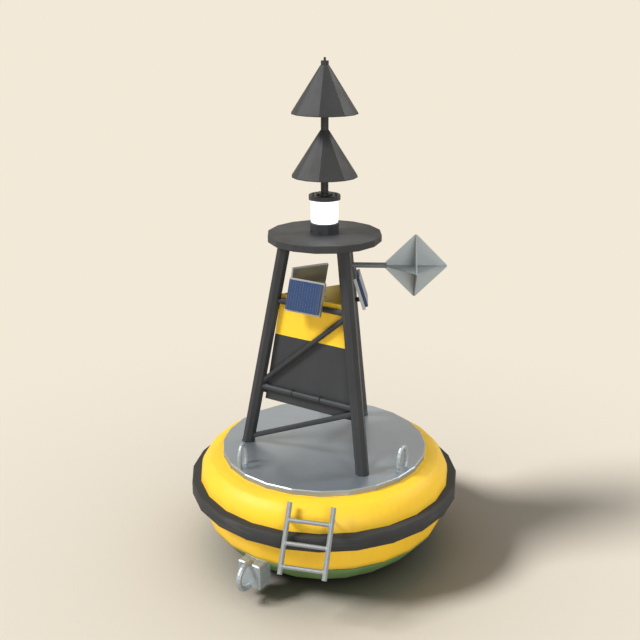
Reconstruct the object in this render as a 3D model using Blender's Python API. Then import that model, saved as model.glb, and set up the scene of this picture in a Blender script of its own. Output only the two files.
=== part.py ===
# Navigation buoy: a round decked hull with a rubber fender, a three-legged lattice tower
# with daymark boards and solar panels, a lantern and two topmark cones.
# Units are metres, +Z is up, and the origin is the centre of the flat base.

import math

import bmesh
import bpy
from mathutils import Vector

# Clearance between pieces that touch, and how far a cutting shape runs past a face
GAP = 0.0003
OVERRUN = 0.02

# Faces that meet at a wider angle than this keep a crisp edge
CRISP_ANGLE = math.radians(31)

# Deck plate
DECK_RADIUS = 1.142
DECK_THICKNESS = 0.065
DECK_CHAMFER = 0.009

# Hull, turned, from the base up: green underside, yellow lower part, fender wall, shoulder
HULL_SIDES = 24
UNDERSIDE_HEIGHT = 0.45
UNDERSIDE_TAPER = 0.53
UNDERSIDE_BULGE = 0.05
LOWER_HULL_HEIGHT = 0.31
LOWER_HULL_TAPER = 0.07
LOWER_HULL_BULGE = 0.012
SHOULDER_HEIGHT = 0.268
SHOULDER_WIDTH = 0.235
DECK_LIP = 0.023
ARC_STEPS = 6

# Fender: a rubber belt round the hull's widest wall
FENDER_HEIGHT = 0.157
FENDER_THICKNESS = 0.10
FENDER_CHAMFER = 0.012

# Hull sizes that follow from those above
HULL_RADIUS = DECK_RADIUS + DECK_LIP + SHOULDER_WIDTH
WATERLINE_RADIUS = HULL_RADIUS - LOWER_HULL_TAPER
BASE_RADIUS = WATERLINE_RADIUS - UNDERSIDE_TAPER
FENDER_LOW = UNDERSIDE_HEIGHT + LOWER_HULL_HEIGHT
FENDER_TOP = FENDER_LOW + FENDER_HEIGHT
FENDER_MIDDLE = FENDER_LOW + FENDER_HEIGHT / 2
FENDER_RADIUS = HULL_RADIUS + FENDER_THICKNESS
SHOULDER_TOP = FENDER_TOP + SHOULDER_HEIGHT
DECK_HEIGHT = SHOULDER_TOP + DECK_THICKNESS

# Tower: three raking legs, with two rings of braces and two diagonals on each face.
# Its heights are measured from the deck.
FACE_COUNT = 3
FIRST_LEG_ANGLE = math.radians(180)
TUBE_SIDES = 8
LEG_DIAMETER = 0.144
LEG_INSET = 0.285
LEG_HEAD_RADIUS = 0.409
RING_DIAMETER = 0.064
DIAGONAL_DIAMETER = 0.06
DIAGONAL_FOOT_RISE = 0.05
BRACE_CLEARANCE = 0.003
LOWER_RING_HEIGHT = 0.68
RING_SPACING = 0.993

# Solar panels: one on each face, carried by the upper ring
PANEL_WIDTH = 0.431
PANEL_HEIGHT = 0.351
PANEL_DEPTH = 0.033
PANEL_BORDER = 0.018
PANEL_TILT = math.radians(17.5)
PANEL_STANDOFF = 0.121
PANEL_LIFT = 0.139
GLASS_DEPTH = 0.032
GLASS_CHAMFER = 0.005
BRACKET_DIAMETER = 0.05
BRACKET_PLATE_WIDTH = 0.16
BRACKET_PLATE_HEIGHT = 0.09
BRACKET_PLATE_DEPTH = 0.008
BRACKET_DROP = 0.115

# Radar reflector: three crossed plates on an arm from a crossbar between two legs
REFLECTOR_REACH = 0.345
REFLECTOR_PLATE = 0.008
REFLECTOR_CORNER = 0.010
ARM_LENGTH = 0.724
ARM_DIAMETER = 0.058
ARM_GRIP = 0.045
ARM_RISE = 0.0597
CROSSBAR_DIAMETER = 0.06
HEAD_CLEARANCE = 0.273

# Tower sizes that follow from those above
LEG_FOOT_RADIUS = DECK_RADIUS - LEG_INSET
UPPER_RING_HEIGHT = LOWER_RING_HEIGHT + RING_SPACING
PANEL_CENTRE_HEIGHT = UPPER_RING_HEIGHT + PANEL_LIFT
PANEL_TOP_HEIGHT = PANEL_CENTRE_HEIGHT + PANEL_HEIGHT / 2 * math.cos(PANEL_TILT)
CROSSBAR_HEIGHT = PANEL_TOP_HEIGHT + ARM_RISE + ARM_DIAMETER / 2
LEG_HEAD_HEIGHT = CROSSBAR_HEIGHT + HEAD_CLEARANCE

# Daymark boards: an upper and a lower board behind the braces of each face
BOARD_THICKNESS = 0.010
BOARD_BELOW_RING = 0.145
BOARD_ABOVE_RING = 0.071
BOARD_SPLIT_SHARE = 0.627
BOARD_BOTTOM_MARGIN = 0.099
BOARD_TOP_MARGIN = 0.055
BOARD_BOTTOM = LOWER_RING_HEIGHT - BOARD_BELOW_RING
BOARD_TOP = UPPER_RING_HEIGHT + BOARD_ABOVE_RING
BOARD_SPLIT = BOARD_BOTTOM + BOARD_SPLIT_SHARE * (BOARD_TOP - BOARD_BOTTOM)

# Platform and lantern on top of the tower
ROUND_SIDES = 16
ROUND_TURN = math.radians(15)
PLATFORM_OVERHANG = 0.193
PLATFORM_THICKNESS = 0.077
PLATFORM_CHAMFER = 0.006
LANTERN_BASE_RADIUS = 0.152
LANTERN_BASE_HEIGHT = 0.11
LENS_RADIUS = 0.138
LENS_HEIGHT = 0.241
CAP_RADIUS = 0.167
CAP_HEIGHT = 0.050
CAP_COLLAR_WIDTH = 0.044
CAP_COLLAR_HEIGHT = 0.018
LANTERN_CHAMFER = 0.006

# Topmark: two cones, points up, on one spindle
SPINDLE_RADIUS = 0.040
CONE_RADIUS = 0.343
CONE_HEIGHT = 0.469
CONE_TIP_WALL = 0.004
CONE_RIM = 0.008
CONE_RISE = 0.1685
CONE_SPACE = 0.164
SPINDLE_STUB = 0.0425
PIN_RADIUS = 0.012
PIN_LENGTH = 0.032

# Lifting eyes on the deck
LIFTING_ANGLES = [math.radians(angle) for angle in (216, 324.5, 91)]
LIFTING_FACINGS = [math.radians(angle) for angle in (-18, -33, -26)]
LIFTING_INSET = 0.095
LIFTING_WIDTH = 0.225
LIFTING_HEIGHT = 0.27
LIFTING_CENTRE = 0.10
LIFTING_BAR = 0.045
LOOP_STEPS = 12

# Mooring eyes low on the hull: one in front, its pair behind
MOORING_ANGLES = [math.radians(angle) for angle in (239, 59)]
MOORING_STANDOUT = 0.11
MOORING_WIDTH = 0.28
MOORING_DEPTH = 0.20
MOORING_TOP_DROP = 0.006
MOORING_BLOCK_HEIGHT = 0.283
MOORING_CHAMFER = 0.012
MOORING_EYE_OUT = 0.03
MOORING_EYE_DROP = 0.129
MOORING_EYE_RADIUS = 0.138
MOORING_EYE_BAR = 0.06

# Boarding ladder, leaning out over the fender; each rail has two stays to the hull
LADDER_ANGLE = math.radians(-94.6)
LADDER_FACING = math.radians(-101.7)
LADDER_CLEARANCE = 0.128
LADDER_LEAN = 0.7
LADDER_SPACING = 0.45
LADDER_BAR = 0.052
RUNG_DIAMETER = 0.043
RUNG_COUNT = 3
RUNG_PITCH = 0.185
TOP_RUNG_DROP = 0.169
TOP_RUNG_HEIGHT = DECK_HEIGHT - TOP_RUNG_DROP
RAIL_RISE = 0.143
RAIL_DROP = 0.065
STAY_DIAMETER = 0.032
STAY_REACH = 0.45
UPPER_STAY_DROP = 0.03


def clear_scene():
    for item in list(bpy.data.objects):
        bpy.data.objects.remove(item, do_unlink=True)


def finish(name, colour, roughness, metallic=0.0):
    paint = bpy.data.materials.new(name)
    paint.use_nodes = True
    shader = paint.node_tree.nodes["Principled BSDF"]
    shader.inputs["Base Color"].default_value = (*colour, 1.0)
    shader.inputs["Roughness"].default_value = roughness
    shader.inputs["Metallic"].default_value = metallic
    return paint


def add_object(name, mesh_data, paint):
    if mesh_data.calc_volume(signed=True) < 0.0:
        bmesh.ops.reverse_faces(mesh_data, faces=mesh_data.faces)
    mesh = bpy.data.meshes.new(name)
    mesh_data.to_mesh(mesh)
    mesh_data.free()
    mesh.shade_smooth()
    mesh.set_sharp_from_angle(angle=CRISP_ANGLE)
    if paint:
        mesh.materials.append(paint.copy())
        mesh.materials[0].name = name
    item = bpy.data.objects.new(name, mesh)
    bpy.context.scene.collection.objects.link(item)
    return item


def make_helper(item):
    item.hide_render = True
    item.display_type = "WIRE"
    return item


def combine(item, helper, operation):
    step = item.modifiers.new(f"{operation.lower()}_{helper.name}", "BOOLEAN")
    step.operation = operation
    step.solver = "EXACT"
    step.object = helper


def polygon(radius, height, sides, turn):
    angles = [turn + math.tau * index / sides for index in range(sides)]
    return [Vector((radius * math.cos(a), radius * math.sin(a), height)) for a in angles]


# A solid through a row of rings with equal numbers of points
def loft(rings, closed=False):
    mesh_data = bmesh.new()
    rows = [[mesh_data.verts.new(point) for point in ring] for ring in rings]
    pairs = list(zip(rows, rows[1:]))
    if closed:
        pairs.append((rows[-1], rows[0]))
    for low, high in pairs:
        count = len(low)
        for index in range(count):
            after = (index + 1) % count
            mesh_data.faces.new((low[index], low[after], high[after], high[index]))
    if not closed:
        mesh_data.faces.new(list(reversed(rows[0])))
        mesh_data.faces.new(rows[-1])
    return mesh_data


# A turned piece from (radius, height) points; a closed outline gives a ring
def turned(name, outline, sides, turn, paint, closed=False):
    rings = [polygon(radius, height, sides, turn) for radius, height in outline]
    return add_object(name, loft(rings, closed), paint)


# An even-sided bar along a path that lies in one plane, with flats facing across the plane
def bar_rings(points, across, diameter, sides, closed=False):
    rings = []
    last = len(points) - 1
    for index, point in enumerate(points):
        if closed:
            before, after = points[index - 1], points[(index + 1) % len(points)]
        else:
            before, after = points[max(index - 1, 0)], points[min(index + 1, last)]
        inward = across.cross((after - before).normalized()).normalized()
        first = math.pi / sides
        angles = [first + math.tau * step / sides for step in range(sides)]
        ring = [point + diameter / 2 * (math.cos(a) * across + math.sin(a) * inward) for a in angles]
        rings.append(ring)
    return rings


def bar(name, points, across, diameter, paint, sides=TUBE_SIDES, closed=False):
    rings = bar_rings(points, across, diameter, sides, closed)
    return add_object(name, loft(rings, closed), paint)


# A box from its centre, three directions and three full sizes, with or without chamfered edges
def block(name, centre, directions, sizes, paint, chamfer=0.0):
    mesh_data = bmesh.new()
    bmesh.ops.create_cube(mesh_data, size=1.0)
    for vert in mesh_data.verts:
        place = centre.copy()
        for part, direction, size in zip(vert.co, directions, sizes):
            place += part * size * direction
        vert.co = place
    if chamfer:
        mesh_data.normal_update()
        bmesh.ops.bevel(mesh_data, geom=mesh_data.edges[:], offset=chamfer, segments=1, affect="EDGES")
    return add_object(name, mesh_data, paint)


def outward(angle):
    return Vector((math.cos(angle), math.sin(angle), 0.0))


def sideways(angle):
    return Vector((-math.sin(angle), math.cos(angle), 0.0))


UP = Vector((0.0, 0.0, 1.0))


# Hull


# Points on a shallow arc from one (radius, height) to another, bowed outwards by its bulge
def bowed(start, end, bulge, grow=0.0):
    run, rise = end[0] - start[0], end[1] - start[1]
    length = math.hypot(run, rise)
    points = []
    for step in range(ARC_STEPS + 1):
        share = step / ARC_STEPS
        bow = 4.0 * bulge * share * (1.0 - share)
        radius = start[0] + share * run + bow * rise / length
        points.append((radius + grow, start[1] + share * rise - bow * run / length))
    return points


def underside_outline(grow=0.0):
    low, high = (BASE_RADIUS, 0.0), (WATERLINE_RADIUS, UNDERSIDE_HEIGHT)
    return bowed(low, high, UNDERSIDE_BULGE, grow)


def lower_outline(grow=0.0):
    low, high = (WATERLINE_RADIUS, UNDERSIDE_HEIGHT), (HULL_RADIUS, FENDER_LOW)
    return bowed(low, high, LOWER_HULL_BULGE, grow)


# The rounded shoulder, a quarter ellipse from the fender wall up to the deck's seat
def shoulder_outline(grow=0.0):
    points = []
    for step in range(ARC_STEPS + 1):
        angle = math.pi / 2 * step / ARC_STEPS
        radius = HULL_RADIUS - SHOULDER_WIDTH * (1.0 - math.cos(angle)) + grow
        points.append((radius, FENDER_TOP + SHOULDER_HEIGHT * math.sin(angle) + grow))
    return points


def raised(outline, shift):
    return [(radius, height + shift) for radius, height in outline]


def make_hull(paints):
    lower = raised(lower_outline(), GAP) + [(HULL_RADIUS, FENDER_MIDDLE)]
    upper = [(HULL_RADIUS, FENDER_MIDDLE + GAP)] + raised(shoulder_outline(), -GAP)
    turned("hull_bottom", underside_outline(), HULL_SIDES, 0.0, paints["green"])
    turned("hull_lower", lower, HULL_SIDES, 0.0, paints["yellow"])
    turned("hull_upper", upper, HULL_SIDES, 0.0, paints["yellow"])


def make_fender(paints):
    inner = HULL_RADIUS + GAP
    edge = FENDER_RADIUS - FENDER_CHAMFER
    outline = [
        (inner, FENDER_LOW),
        (edge, FENDER_LOW),
        (FENDER_RADIUS, FENDER_LOW + FENDER_CHAMFER),
        (FENDER_RADIUS, FENDER_TOP - FENDER_CHAMFER),
        (edge, FENDER_TOP),
        (inner, FENDER_TOP),
    ]
    turned("fender", outline, HULL_SIDES, 0.0, paints["rubber"], closed=True)


def make_deck(paints):
    outline = [
        (DECK_RADIUS, DECK_HEIGHT - DECK_THICKNESS),
        (DECK_RADIUS, DECK_HEIGHT - DECK_CHAMFER),
        (DECK_RADIUS - DECK_CHAMFER, DECK_HEIGHT),
    ]
    turned("deck_plate", outline, HULL_SIDES, 0.0, paints["deck"])


# A hull-shaped cutter, one clearance larger all over, that ends what is welded to the hull
def hull_cutter():
    outline = underside_outline(GAP) + lower_outline(GAP)[1:] + shoulder_outline(GAP)
    return make_helper(turned("hull_cutter", outline, HULL_SIDES, 0.0, None))


def fender_cutter():
    radius = FENDER_RADIUS + GAP
    outline = [(radius, FENDER_LOW - GAP), (radius, FENDER_TOP + GAP)]
    return make_helper(turned("fender_cutter", outline, HULL_SIDES, 0.0, None))


# An oval eye whose lower end is sunk out of sight: its bar is cut level where it meets the deck
def make_lifting_eyes(paints):
    half = (LIFTING_WIDTH - LIFTING_BAR) / 2
    rise = LIFTING_HEIGHT - LIFTING_BAR / 2 - LIFTING_CENTRE
    dip = math.asin(LIFTING_CENTRE / rise)
    seat = DECK_HEIGHT + GAP
    for number, (angle, facing) in enumerate(zip(LIFTING_ANGLES, LIFTING_FACINGS), start=1):
        run, across = outward(facing), sideways(facing)
        centre = (DECK_RADIUS - LIFTING_INSET) * outward(angle) + (seat + LIFTING_CENTRE) * UP
        turns = [-dip + (math.pi + 2 * dip) * step / LOOP_STEPS for step in range(LOOP_STEPS + 1)]
        points = [centre + half * math.cos(turn) * across + rise * math.sin(turn) * UP for turn in turns]
        rings = bar_rings(points, run, LIFTING_BAR, TUBE_SIDES)
        for end, before in ((0, 1), (-1, -2)):
            along = points[end] - points[before]
            rings[end] = [point + (seat - point.z) / along.z * along for point in rings[end]]
        add_object(f"lifting_eye_{number}", loft(rings), paints["galvanised"])


def make_mooring_eyes(paints, cutter):
    reach = WATERLINE_RADIUS + MOORING_STANDOUT
    top = UNDERSIDE_HEIGHT - MOORING_TOP_DROP
    for number, angle in enumerate(MOORING_ANGLES, start=1):
        out, side = outward(angle), sideways(angle)
        centre = (reach - MOORING_DEPTH / 2) * out + (top - MOORING_BLOCK_HEIGHT / 2) * UP
        sizes = (MOORING_DEPTH, MOORING_WIDTH, MOORING_BLOCK_HEIGHT)
        bracket = block(f"mooring_bracket_{number}", centre, (out, side, UP), sizes,
                        paints["galvanised"], MOORING_CHAMFER)
        ring_centre = (reach + MOORING_EYE_OUT) * out + (top - MOORING_EYE_DROP) * UP
        turns = [math.pi * step / LOOP_STEPS for step in range(2 * LOOP_STEPS)]
        spokes = [math.cos(turn) * out + math.sin(turn) * UP for turn in turns]
        loop = [ring_centre + MOORING_EYE_RADIUS * spoke for spoke in spokes]
        bar(f"mooring_eye_{number}", loop, side, MOORING_EYE_BAR, paints["galvanised"], closed=True)
        hole = bar(f"mooring_cutter_{number}", loop, side, MOORING_EYE_BAR + 2 * GAP, None, closed=True)
        combine(bracket, make_helper(hole), "DIFFERENCE")
        combine(bracket, cutter, "DIFFERENCE")


# Tower


def leg_angle(index):
    return FIRST_LEG_ANGLE + math.tau * index / FACE_COUNT


def leg_radius(height):
    return LEG_FOOT_RADIUS + (LEG_HEAD_RADIUS - LEG_FOOT_RADIUS) * height / LEG_HEAD_HEIGHT


# A point on a leg's axis; heights in the tower are measured from the deck
def leg_point(angle, height):
    return leg_radius(height) * outward(angle) + (DECK_HEIGHT + height) * UP


# A leg's eight corners where its tube is cut level at a height
def leg_ring(angle, radius, height):
    foot = leg_point(angle, 0.0)
    axis = (leg_point(angle, LEG_HEAD_HEIGHT) - foot).normalized()
    side = sideways(angle)
    front = side.cross(axis)
    ring = []
    for index in range(TUBE_SIDES):
        turn = math.tau * (index + 0.5) / TUBE_SIDES
        point = foot + radius * (math.cos(turn) * front + math.sin(turn) * side)
        reach = (DECK_HEIGHT + height - point.z) / axis.z
        ring.append(point + reach * axis)
    return ring


def make_legs(paints):
    cutters = []
    head = LEG_HEAD_HEIGHT - GAP
    grow = GAP / math.cos(math.pi / TUBE_SIDES)
    for index in range(FACE_COUNT):
        angle = leg_angle(index)
        radius = LEG_DIAMETER / 2
        rings = [leg_ring(angle, radius, GAP), leg_ring(angle, radius, head)]
        add_object(f"tower_leg_{index + 1}", loft(rings), paints["black"])
        rings = [leg_ring(angle, radius + grow, -OVERRUN), leg_ring(angle, radius + grow, head + OVERRUN)]
        cutters.append(make_helper(add_object(f"leg_cutter_{index + 1}", loft(rings), None)))
    return cutters


# The outward normal of a tower face, square to both of its legs
def face_normal(left, right):
    along = leg_point(right, 0.0) - leg_point(left, 0.0)
    up = leg_point(left, LEG_HEAD_HEIGHT) - leg_point(left, 0.0)
    return along.cross(up).normalized()


# A brace between two legs: its ends lie in the legs' own upright planes through the tower's
# axis, so braces of neighbouring faces never meet, and then each end is coped round its leg
def brace(name, left, right, low, high, diameter, paint, cutters):
    start, end = leg_point(left, low), leg_point(right, high)
    normal = face_normal(left, right)
    axis = (end - start).normalized()
    square = bar_rings([start, end], normal, diameter, TUBE_SIDES)
    rings = []
    for ring, angle, shift in zip(square, (left, right), (GAP, -GAP)):
        plane = sideways(angle)
        rings.append([point + (shift - point.dot(plane)) / axis.dot(plane) * axis for point in ring])
    item = add_object(name, loft(rings), paint)
    for cutter in cutters:
        combine(item, cutter, "DIFFERENCE")
    return item


# How far along the leg a diagonal's axis must miss a ring's axis for the two tubes to clear
def diagonal_offset(slope):
    tubes = (RING_DIAMETER + DIAGONAL_DIAMETER * math.hypot(1.0, slope)) / 2
    return tubes + BRACE_CLEARANCE - LEG_DIAMETER / 2 * math.cos(math.pi / TUBE_SIDES) * slope


def diagonal_slope(low, high):
    middle = (low + high) / 2
    return (high - low) / (2 * leg_radius(middle) * math.sin(math.pi / FACE_COUNT))


def make_braces(index, paints, leg_cutters):
    left, right = leg_angle(index), leg_angle(index + 1)
    ends = (leg_cutters[index], leg_cutters[(index + 1) % FACE_COUNT])
    foot, low, high = DIAGONAL_FOOT_RISE, LOWER_RING_HEIGHT, UPPER_RING_HEIGHT
    lower_offset = diagonal_offset(diagonal_slope(foot, low))
    upper_offset = diagonal_offset(diagonal_slope(low, high))
    number = index + 1
    rows = (
        ("ring_lower", low, low, RING_DIAMETER),
        ("ring_upper", high, high, RING_DIAMETER),
        ("diagonal_lower", foot, low - lower_offset, DIAGONAL_DIAMETER),
        ("diagonal_upper", low + upper_offset, high - upper_offset, DIAGONAL_DIAMETER),
    )
    for kind, start, end, diameter in rows:
        brace(f"{kind}_{number}", left, right, start, end, diameter, paints["black"], ends)


# Distance from a leg's axis to a board's edge at a height. The edge also stops short of the
# upright plane through the leg and the tower's axis, where the next face's board begins.
def board_margin(height, depth):
    share = (height - BOARD_BOTTOM) / (BOARD_TOP - BOARD_BOTTOM)
    margin = BOARD_BOTTOM_MARGIN + (BOARD_TOP_MARGIN - BOARD_BOTTOM_MARGIN) * share
    return max(margin, depth * math.tan(math.pi / FACE_COUNT) + 2 * GAP)


# A board behind the braces; where it is wider than the gap between the legs, it is coped round them
def make_board(name, index, low, high, paint, leg_cutters):
    left, right = leg_angle(index), leg_angle(index + 1)
    normal = face_normal(left, right)
    along = (leg_point(right, 0.0) - leg_point(left, 0.0)).normalized()
    seat = RING_DIAMETER / 2 * math.cos(math.pi / TUBE_SIDES) + GAP
    rings = []
    for depth in (seat, seat + BOARD_THICKNESS):
        margins = (board_margin(low, depth), board_margin(high, depth))
        lefts = [leg_point(left, height) + margin * along for height, margin in zip((low, high), margins)]
        rights = [leg_point(right, height) - margin * along for height, margin in zip((low, high), margins)]
        outline = (lefts[0], rights[0], rights[1], lefts[1])
        rings.append([point - depth * normal for point in outline])
    board = add_object(name, loft(rings), paint)
    for cutter in (leg_cutters[index], leg_cutters[(index + 1) % FACE_COUNT]):
        combine(board, cutter, "DIFFERENCE")


def make_boards(index, paints, leg_cutters):
    number = index + 1
    make_board(f"daymark_lower_{number}", index, BOARD_BOTTOM, BOARD_SPLIT, paints["black"], leg_cutters)
    make_board(f"daymark_upper_{number}", index, BOARD_SPLIT + GAP, BOARD_TOP, paints["yellow"], leg_cutters)


# A panel: a shallow frame box with a slab of cells under glass in front of it
def make_panel(index, paints):
    number = index + 1
    left, right = leg_angle(index), leg_angle(index + 1)
    angle = (left + right) / 2
    out, side = outward(angle), sideways(angle)
    facing = math.cos(PANEL_TILT) * out + math.sin(PANEL_TILT) * UP
    rise = facing.cross(side)
    directions = (side, rise, facing)
    ring_out = leg_radius(UPPER_RING_HEIGHT) * math.cos(math.pi / FACE_COUNT)
    front = (ring_out + PANEL_STANDOFF) * out + (DECK_HEIGHT + PANEL_CENTRE_HEIGHT) * UP
    back = front - PANEL_DEPTH * facing
    block(f"solar_frame_{number}", front - PANEL_DEPTH / 2 * facing, directions,
          (PANEL_WIDTH, PANEL_HEIGHT, PANEL_DEPTH), paints["aluminium"])
    glass_sizes = (PANEL_WIDTH - 2 * PANEL_BORDER, PANEL_HEIGHT - 2 * PANEL_BORDER, GLASS_DEPTH)
    block(f"solar_glass_{number}", front + (GLASS_DEPTH / 2 + GAP) * facing, directions,
          glass_sizes, paints["blue"], GLASS_CHAMFER)
    make_panel_bracket(number, left, right, back - BRACKET_DROP * rise, directions, paints)


# The panel's back is held low down, by a tube from the upper ring that ends in a plate
def make_panel_bracket(number, left, right, back, directions, paints):
    side, facing = directions[0], directions[2]
    ring_ends = [leg_point(left, UPPER_RING_HEIGHT), leg_point(right, UPPER_RING_HEIGHT)]
    plate_centre = back - (GAP + BRACKET_PLATE_DEPTH / 2) * facing
    path = [(ring_ends[0] + ring_ends[1]) / 2, plate_centre]
    bracket = bar(f"solar_bracket_{number}", path, side, BRACKET_DIAMETER, paints["black"])
    plate = block(f"bracket_plate_{number}", plate_centre, directions,
                  (BRACKET_PLATE_WIDTH, BRACKET_PLATE_HEIGHT, BRACKET_PLATE_DEPTH), None)
    combine(bracket, make_helper(plate), "UNION")
    beyond = block(f"bracket_trim_{number}", back + (PANEL_DEPTH / 2 - GAP) * facing, directions,
                   (BRACKET_PLATE_WIDTH, BRACKET_PLATE_HEIGHT, PANEL_DEPTH), None)
    combine(bracket, make_helper(beyond), "DIFFERENCE")
    grow = GAP / math.cos(math.pi / TUBE_SIDES)
    ring = bar(f"ring_cutter_{number}", ring_ends, face_normal(left, right), RING_DIAMETER + 2 * grow, None)
    combine(bracket, make_helper(ring), "DIFFERENCE")


def make_tower(paints):
    leg_cutters = make_legs(paints)
    for index in range(FACE_COUNT):
        make_braces(index, paints, leg_cutters)
        make_boards(index, paints, leg_cutters)
        make_panel(index, paints)
    return leg_cutters


def make_platform(paints):
    low = DECK_HEIGHT + LEG_HEAD_HEIGHT
    top = low + PLATFORM_THICKNESS
    radius = LEG_HEAD_RADIUS + PLATFORM_OVERHANG
    outline = [
        (radius - PLATFORM_CHAMFER, low),
        (radius, low + PLATFORM_CHAMFER),
        (radius, top - PLATFORM_CHAMFER),
        (radius - PLATFORM_CHAMFER, top),
    ]
    turned("platform", outline, ROUND_SIDES, ROUND_TURN, paints["black"])
    return top


def make_lantern(paints, seat):
    base = seat + GAP
    lens = base + LANTERN_BASE_HEIGHT
    cap = lens + LENS_HEIGHT
    shade = cap + CAP_HEIGHT
    top = shade + CAP_COLLAR_HEIGHT
    collar = SPINDLE_RADIUS + CAP_COLLAR_WIDTH
    turned("lantern_base", [
        (LANTERN_BASE_RADIUS, base),
        (LANTERN_BASE_RADIUS, lens - LANTERN_CHAMFER - GAP),
        (LANTERN_BASE_RADIUS - LANTERN_CHAMFER, lens - GAP),
    ], ROUND_SIDES, ROUND_TURN, paints["black"])
    turned("lantern_lens", [(LENS_RADIUS, lens), (LENS_RADIUS, cap)], ROUND_SIDES, ROUND_TURN, paints["lens"])
    turned("lantern_cap", [
        (CAP_RADIUS, cap + GAP),
        (CAP_RADIUS, shade - LANTERN_CHAMFER),
        (CAP_RADIUS - LANTERN_CHAMFER, shade),
        (collar, shade),
        (collar, top),
    ], ROUND_SIDES, ROUND_TURN, paints["black"])
    return top


def make_topmark(paints, spindle_foot):
    bore = SPINDLE_RADIUS + GAP
    low = spindle_foot + CONE_RISE
    for number in (1, 2):
        tip = low + CONE_HEIGHT
        outline = [
            (bore, low),
            (CONE_RADIUS, low),
            (CONE_RADIUS, low + CONE_RIM),
            (bore + CONE_TIP_WALL, tip),
            (bore, tip),
        ]
        turned(f"topmark_cone_{number}", outline, ROUND_SIDES, ROUND_TURN, paints["black"], closed=True)
        low = tip + CONE_SPACE
    stub = tip + SPINDLE_STUB
    turned("topmark_spindle", [
        (SPINDLE_RADIUS, spindle_foot + GAP),
        (SPINDLE_RADIUS, stub),
        (PIN_RADIUS, stub),
        (PIN_RADIUS, stub + PIN_LENGTH),
    ], ROUND_SIDES, ROUND_TURN, paints["black"])


# A square plate standing on one blunt corner; its second pair of corners is cut a little deeper,
# so that two plates that cross at a corner end in a small step
def corner_plate(name, centre, first, second, reach, thickness, paint):
    normal = first.cross(second)
    outline = []
    corners = ((first, second, REFLECTOR_CORNER), (second, -first, REFLECTOR_CORNER + REFLECTOR_PLATE / 2))
    for sign in (1.0, -1.0):
        for tip, ahead, blunt in corners:
            outline.append(centre + sign * ((reach - blunt) * tip - blunt * ahead))
            outline.append(centre + sign * ((reach - blunt) * tip + blunt * ahead))
    rings = [[point + shift * normal for point in outline] for shift in (-thickness / 2, thickness / 2)]
    return add_object(name, loft(rings), paint)


def make_reflector(paints, leg_cutters):
    left, right = leg_angle(1), leg_angle(2)
    bar_start, bar_end = leg_point(left, CROSSBAR_HEIGHT), leg_point(right, CROSSBAR_HEIGHT)
    out = outward((left + right) / 2)
    side = UP.cross(out)
    start = (bar_start + bar_end) / 2
    centre = start + ARM_LENGTH * out
    pairs = ((out, side), (side, UP), (UP, out))
    names = ("radar_reflector", "reflector_helper_1", "reflector_helper_2")
    plates = []
    for name, (first, second) in zip(names, pairs):
        paint = None if plates else paints["reflector"]
        plates.append(corner_plate(name, centre, first, second, REFLECTOR_REACH, REFLECTOR_PLATE, paint))
    for helper in plates[1:]:
        combine(plates[0], make_helper(helper), "UNION")
    end = centre - (REFLECTOR_REACH - ARM_GRIP) * out
    arm = bar("reflector_arm", [start, end], UP, ARM_DIAMETER, paints["galvanised"])
    for number, (first, second) in enumerate((pairs[0], pairs[2]), start=1):
        slot = corner_plate(f"arm_slot_{number}", centre, first, second,
                            REFLECTOR_REACH + 2 * GAP, REFLECTOR_PLATE + 2 * GAP, None)
        combine(arm, make_helper(slot), "DIFFERENCE")
    crossbar = bar("reflector_crossbar", [bar_start, bar_end], UP, CROSSBAR_DIAMETER, paints["black"])
    for cutter in leg_cutters[1:]:
        combine(crossbar, cutter, "DIFFERENCE")
    grow = GAP / math.cos(math.pi / TUBE_SIDES)
    notch = bar("crossbar_cutter", [bar_start, bar_end], UP, CROSSBAR_DIAMETER + 2 * grow, None)
    combine(arm, make_helper(notch), "DIFFERENCE")


# Ladder


# A point in the ladder's leaning plane: its side in -1 to 1, and its height above the base.
# The plane passes the fender's middle with the ladder's clearance.
def ladder_point(side, height):
    facing = outward(LADDER_FACING)
    lean = LADDER_LEAN * (FENDER_MIDDLE - height)
    middle = (FENDER_RADIUS + LADDER_CLEARANCE) * outward(LADDER_ANGLE)
    shift = side * LADDER_SPACING / 2 * sideways(LADDER_FACING)
    return middle + lean * facing + shift + height * UP


# A rail with its two stays, which run straight in to the hull and the fender
def make_rail(name, side, paints, hull, fender):
    across = sideways(LADDER_FACING)
    inward = -outward(LADDER_ANGLE)
    lowest = TOP_RUNG_HEIGHT - (RUNG_COUNT - 1) * RUNG_PITCH - RAIL_DROP
    points = [ladder_point(side, lowest), ladder_point(side, TOP_RUNG_HEIGHT + RAIL_RISE)]
    rail = bar(name, points, across, LADDER_BAR, paints["galvanised"])
    stays = ((TOP_RUNG_HEIGHT - UPPER_STAY_DROP, hull), (FENDER_MIDDLE, fender))
    for number, (height, body) in enumerate(stays, start=1):
        start = ladder_point(side, height)
        stay = bar(f"{name}_stay_{number}", [start, start + STAY_REACH * inward], UP, STAY_DIAMETER, None)
        combine(rail, make_helper(stay), "UNION")
        combine(rail, body, "DIFFERENCE")
    return make_helper(bar(f"{name}_cutter", points, across, LADDER_BAR + 2 * GAP, None))


def make_ladder(paints, hull, fender):
    cutters = [make_rail("ladder_rail_left", -1.0, paints, hull, fender)]
    cutters.append(make_rail("ladder_rail_right", 1.0, paints, hull, fender))
    for number in range(RUNG_COUNT):
        height = TOP_RUNG_HEIGHT - RUNG_PITCH * number
        ends = [ladder_point(-1.0, height), ladder_point(1.0, height)]
        name = f"ladder_rung_{number + 1}"
        rung = bar(name, ends, outward(LADDER_FACING), RUNG_DIAMETER, paints["galvanised"])
        for cutter in cutters:
            combine(rung, cutter, "DIFFERENCE")


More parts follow.
